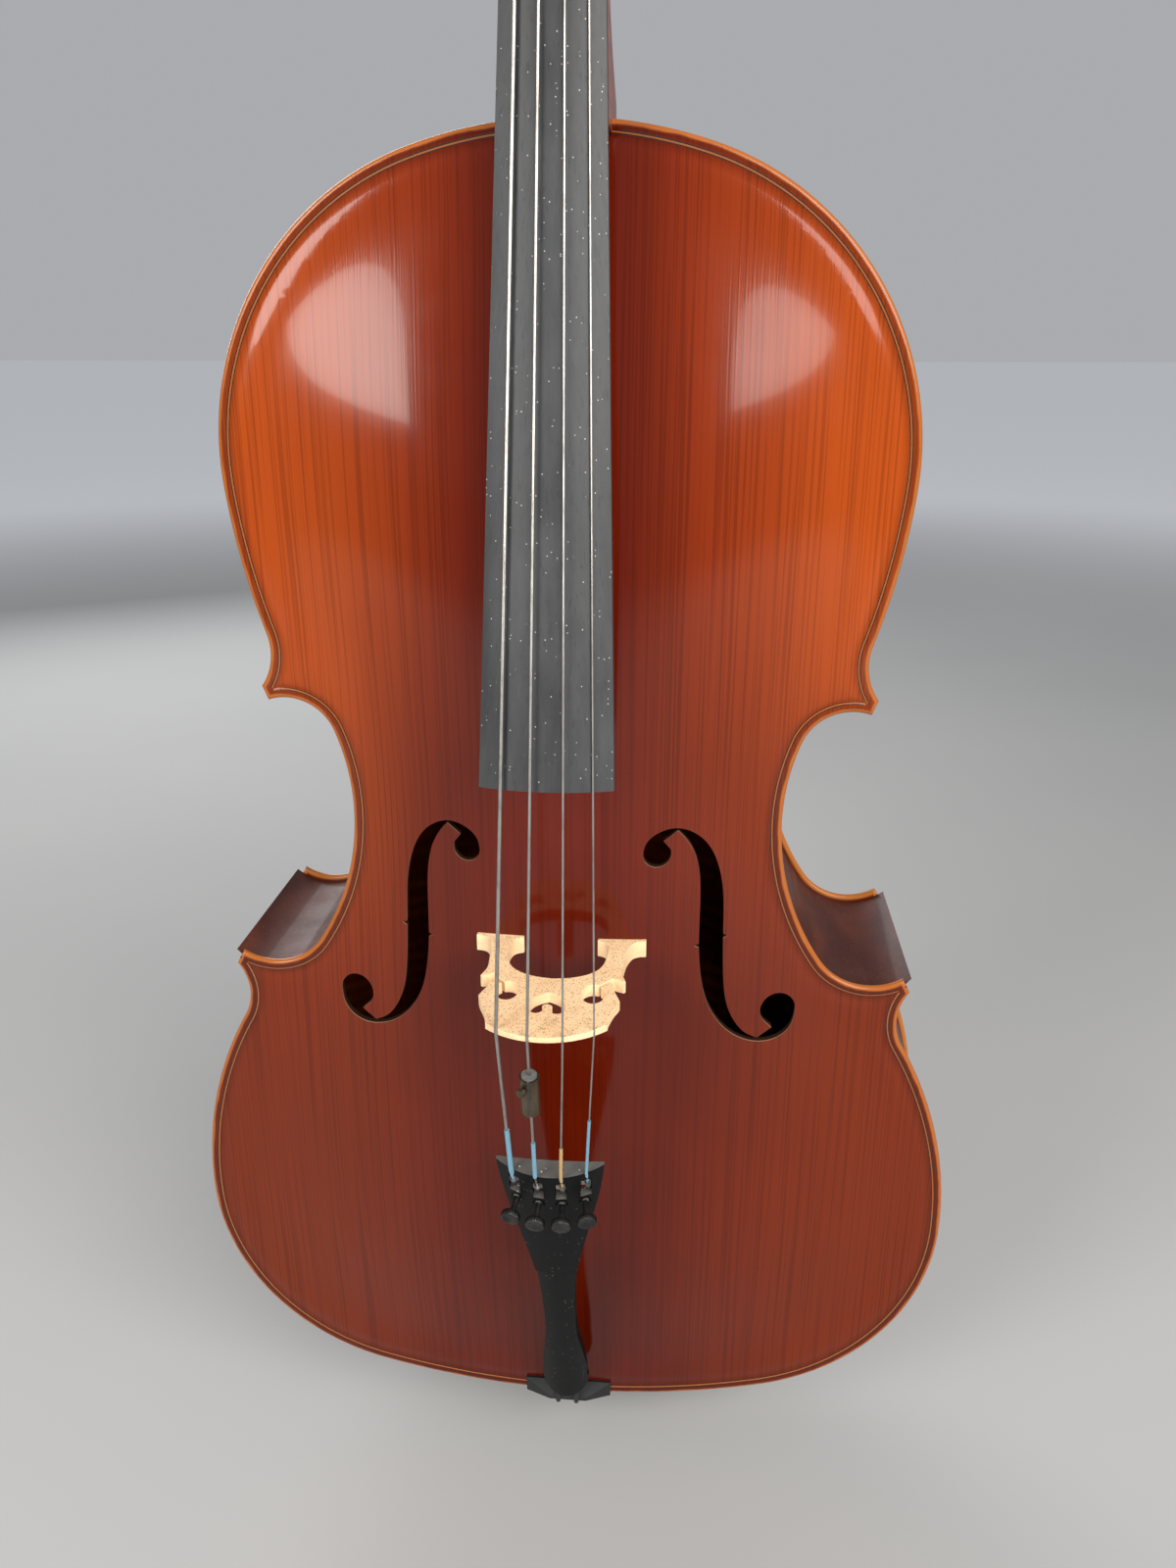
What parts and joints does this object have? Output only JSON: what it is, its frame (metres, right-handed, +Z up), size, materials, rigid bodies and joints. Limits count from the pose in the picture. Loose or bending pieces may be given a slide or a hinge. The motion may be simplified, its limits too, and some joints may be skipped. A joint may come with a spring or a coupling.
{
  "type": "cello",
  "caption": "Full-size cello: arched body with waist and sound holes, neck with scroll, strings over a bridge to a tailpiece with fine tuners, and a sliding endpin.",
  "frame": {"origin": "centre of the throat under the scroll, the seat where a hanger's yoke carries the cello", "axes": "+Z up along the instrument, -Y out of the front towards the listener, +X to the treble side"},
  "size_m": [0.4566, 0.2559, 1.2826],
  "materials": {
    "spruce_varnish": "clear gloss varnish over spruce",
    "maple_varnish": "clear gloss varnish over maple",
    "purfling": "three-ply black, pale, black",
    "bare_spruce": "bare, planed",
    "bare_maple": "bare, scraped",
    "ebony": "oiled, satin",
    "composite": "matte",
    "steel": "satin",
    "string_winding": "flat wound, polished",
    "silk_blue": "wound thread",
    "silk_yellow": "wound thread with a dark spiral",
    "gut": "smooth cord",
    "rubber": "matte"
  },
  "bodies": {
    "cello": {"back_linings": "bare_spruce", "back_plate": "maple_varnish", "back_purfling": "purfling", "bass_bar": "bare_spruce", "bottom_block": "bare_spruce", "bridge": "bare_maple", "corner_blocks": "bare_spruce", "endpin_socket": "ebony", "fingerboard": "ebony", "neck": "maple_varnish", "nut": "ebony", "rib_lower_bass": "maple_varnish", "rib_lower_treble": "maple_varnish", "rib_upper_bass": "maple_varnish", "rib_upper_treble": "maple_varnish", "rib_waist_bass": "maple_varnish", "rib_waist_treble": "maple_varnish", "saddle": "ebony", "silk_yellow": "silk_yellow", "silks_blue": "silk_blue", "sound_post": "bare_spruce", "string_a": "string_winding", "string_c": "string_winding", "string_d": "string_winding", "string_g": "string_winding", "tail_gut": "gut", "tailpiece": "composite", "top_block": "bare_spruce", "top_linings": "bare_spruce", "top_plate": "spruce_varnish", "top_purfling": "purfling", "tuner_pins": "steel"},
    "peg_c": {"peg_c": "ebony", "string_winding_c": "string_winding"},
    "tuner_screw_c": {"tuner_screw_c": "composite"},
    "tuner_lever_c": {"tuner_lever_c": "composite"},
    "peg_g": {"peg_g": "ebony", "string_winding_g": "string_winding"},
    "tuner_screw_g": {"tuner_screw_g": "composite"},
    "tuner_lever_g": {"tuner_lever_g": "composite"},
    "peg_d": {"peg_d": "ebony", "string_winding_d": "string_winding"},
    "tuner_screw_d": {"tuner_screw_d": "composite"},
    "tuner_lever_d": {"tuner_lever_d": "composite"},
    "peg_a": {"peg_a": "ebony", "string_winding_a": "string_winding"},
    "tuner_screw_a": {"tuner_screw_a": "composite"},
    "tuner_lever_a": {"tuner_lever_a": "composite"},
    "endpin": {"endpin_rod": "steel", "endpin_tip": "rubber"},
    "endpin_screw": {"endpin_screw": "steel"},
    "wolf_eliminator": {"wolf_tube": "steel", "wolf_sleeve": "rubber"},
    "wolf_screw": {"wolf_screw": "steel"}
  },
  "joints": [
    {"name": "peg_c_turn", "type": "hinge", "parent": "cello", "child": "peg_c", "pos_m": [0, -0.02902, -0.11979], "axis": [1, 0, 0], "continuous": true},
    {"name": "peg_g_turn", "type": "hinge", "parent": "cello", "child": "peg_g", "pos_m": [0, -0.01923, -0.06364], "axis": [1, 0, 0], "continuous": true},
    {"name": "peg_d_turn", "type": "hinge", "parent": "cello", "child": "peg_d", "pos_m": [0, -0.01476, -0.03803], "axis": [1, 0, 0], "continuous": true},
    {"name": "peg_a_turn", "type": "hinge", "parent": "cello", "child": "peg_a", "pos_m": [0, -0.02473, -0.09517], "axis": [1, 0, 0], "continuous": true},
    {"name": "tuner_screw_c_turn", "type": "hinge", "parent": "cello", "child": "tuner_screw_c", "pos_m": [-0.0186, -0.1456, -0.95416], "axis": [-0.174, -0.9393, -0.2958], "range_deg": [-1080, 0]},
    {"name": "tuner_screw_g_turn", "type": "hinge", "parent": "cello", "child": "tuner_screw_g", "pos_m": [-0.00632, -0.14864, -0.95512], "axis": [-0.0594, -0.9521, -0.2998], "range_deg": [-1080, 0]},
    {"name": "tuner_screw_d_turn", "type": "hinge", "parent": "cello", "child": "tuner_screw_d", "pos_m": [0.00632, -0.14864, -0.95512], "axis": [0.0594, -0.9521, -0.2998], "range_deg": [-1080, 0]},
    {"name": "tuner_screw_a_turn", "type": "hinge", "parent": "cello", "child": "tuner_screw_a", "pos_m": [0.0186, -0.1456, -0.95416], "axis": [0.174, -0.9393, -0.2958], "range_deg": [-1080, 0]},
    {"name": "tuner_lever_c_tilt", "type": "hinge", "parent": "cello", "child": "tuner_lever_c", "pos_m": [-0.02, -0.14065, -0.94264], "axis": [1, 0, 0], "range_deg": [0, 8.5]},
    {"name": "tuner_lever_g_tilt", "type": "hinge", "parent": "cello", "child": "tuner_lever_g", "pos_m": [-0.0068, -0.14419, -0.94376], "axis": [1, 0, 0], "range_deg": [0, 8.5]},
    {"name": "tuner_lever_d_tilt", "type": "hinge", "parent": "cello", "child": "tuner_lever_d", "pos_m": [0.0068, -0.14419, -0.94376], "axis": [1, 0, 0], "range_deg": [0, 8.5]},
    {"name": "tuner_lever_a_tilt", "type": "hinge", "parent": "cello", "child": "tuner_lever_a", "pos_m": [0.02, -0.14065, -0.94264], "axis": [1, 0, 0], "range_deg": [0, 8.5]},
    {"name": "endpin_slide", "type": "slide", "parent": "cello", "child": "endpin", "axis": [0, 0, -1], "range_m": [0, 0.3]},
    {"name": "endpin_screw_turn", "type": "hinge", "parent": "cello", "child": "endpin_screw", "pos_m": [0.016, -0.00524, -1.18513], "axis": [1, 0, 0], "range_deg": [0, 540]},
    {"name": "wolf_slide", "type": "slide", "parent": "cello", "child": "wolf_eliminator", "axis": [-0.002, 0.1974, -0.9803], "range_m": [-0.02, 0.006]},
    {"name": "wolf_screw_turn", "type": "hinge", "parent": "wolf_eliminator", "child": "wolf_screw", "pos_m": [-0.00666, -0.17109, -0.86314], "axis": [-0.5058, -0.8459, -0.1692], "range_deg": [0, 360]}
  ],
  "couplings": [
    {"joint": "tuner_lever_c_tilt", "follows": "tuner_screw_c_turn", "ratio": -0.007407},
    {"joint": "tuner_lever_g_tilt", "follows": "tuner_screw_g_turn", "ratio": -0.007407},
    {"joint": "tuner_lever_d_tilt", "follows": "tuner_screw_d_turn", "ratio": -0.007407},
    {"joint": "tuner_lever_a_tilt", "follows": "tuner_screw_a_turn", "ratio": -0.007407}
  ]
}
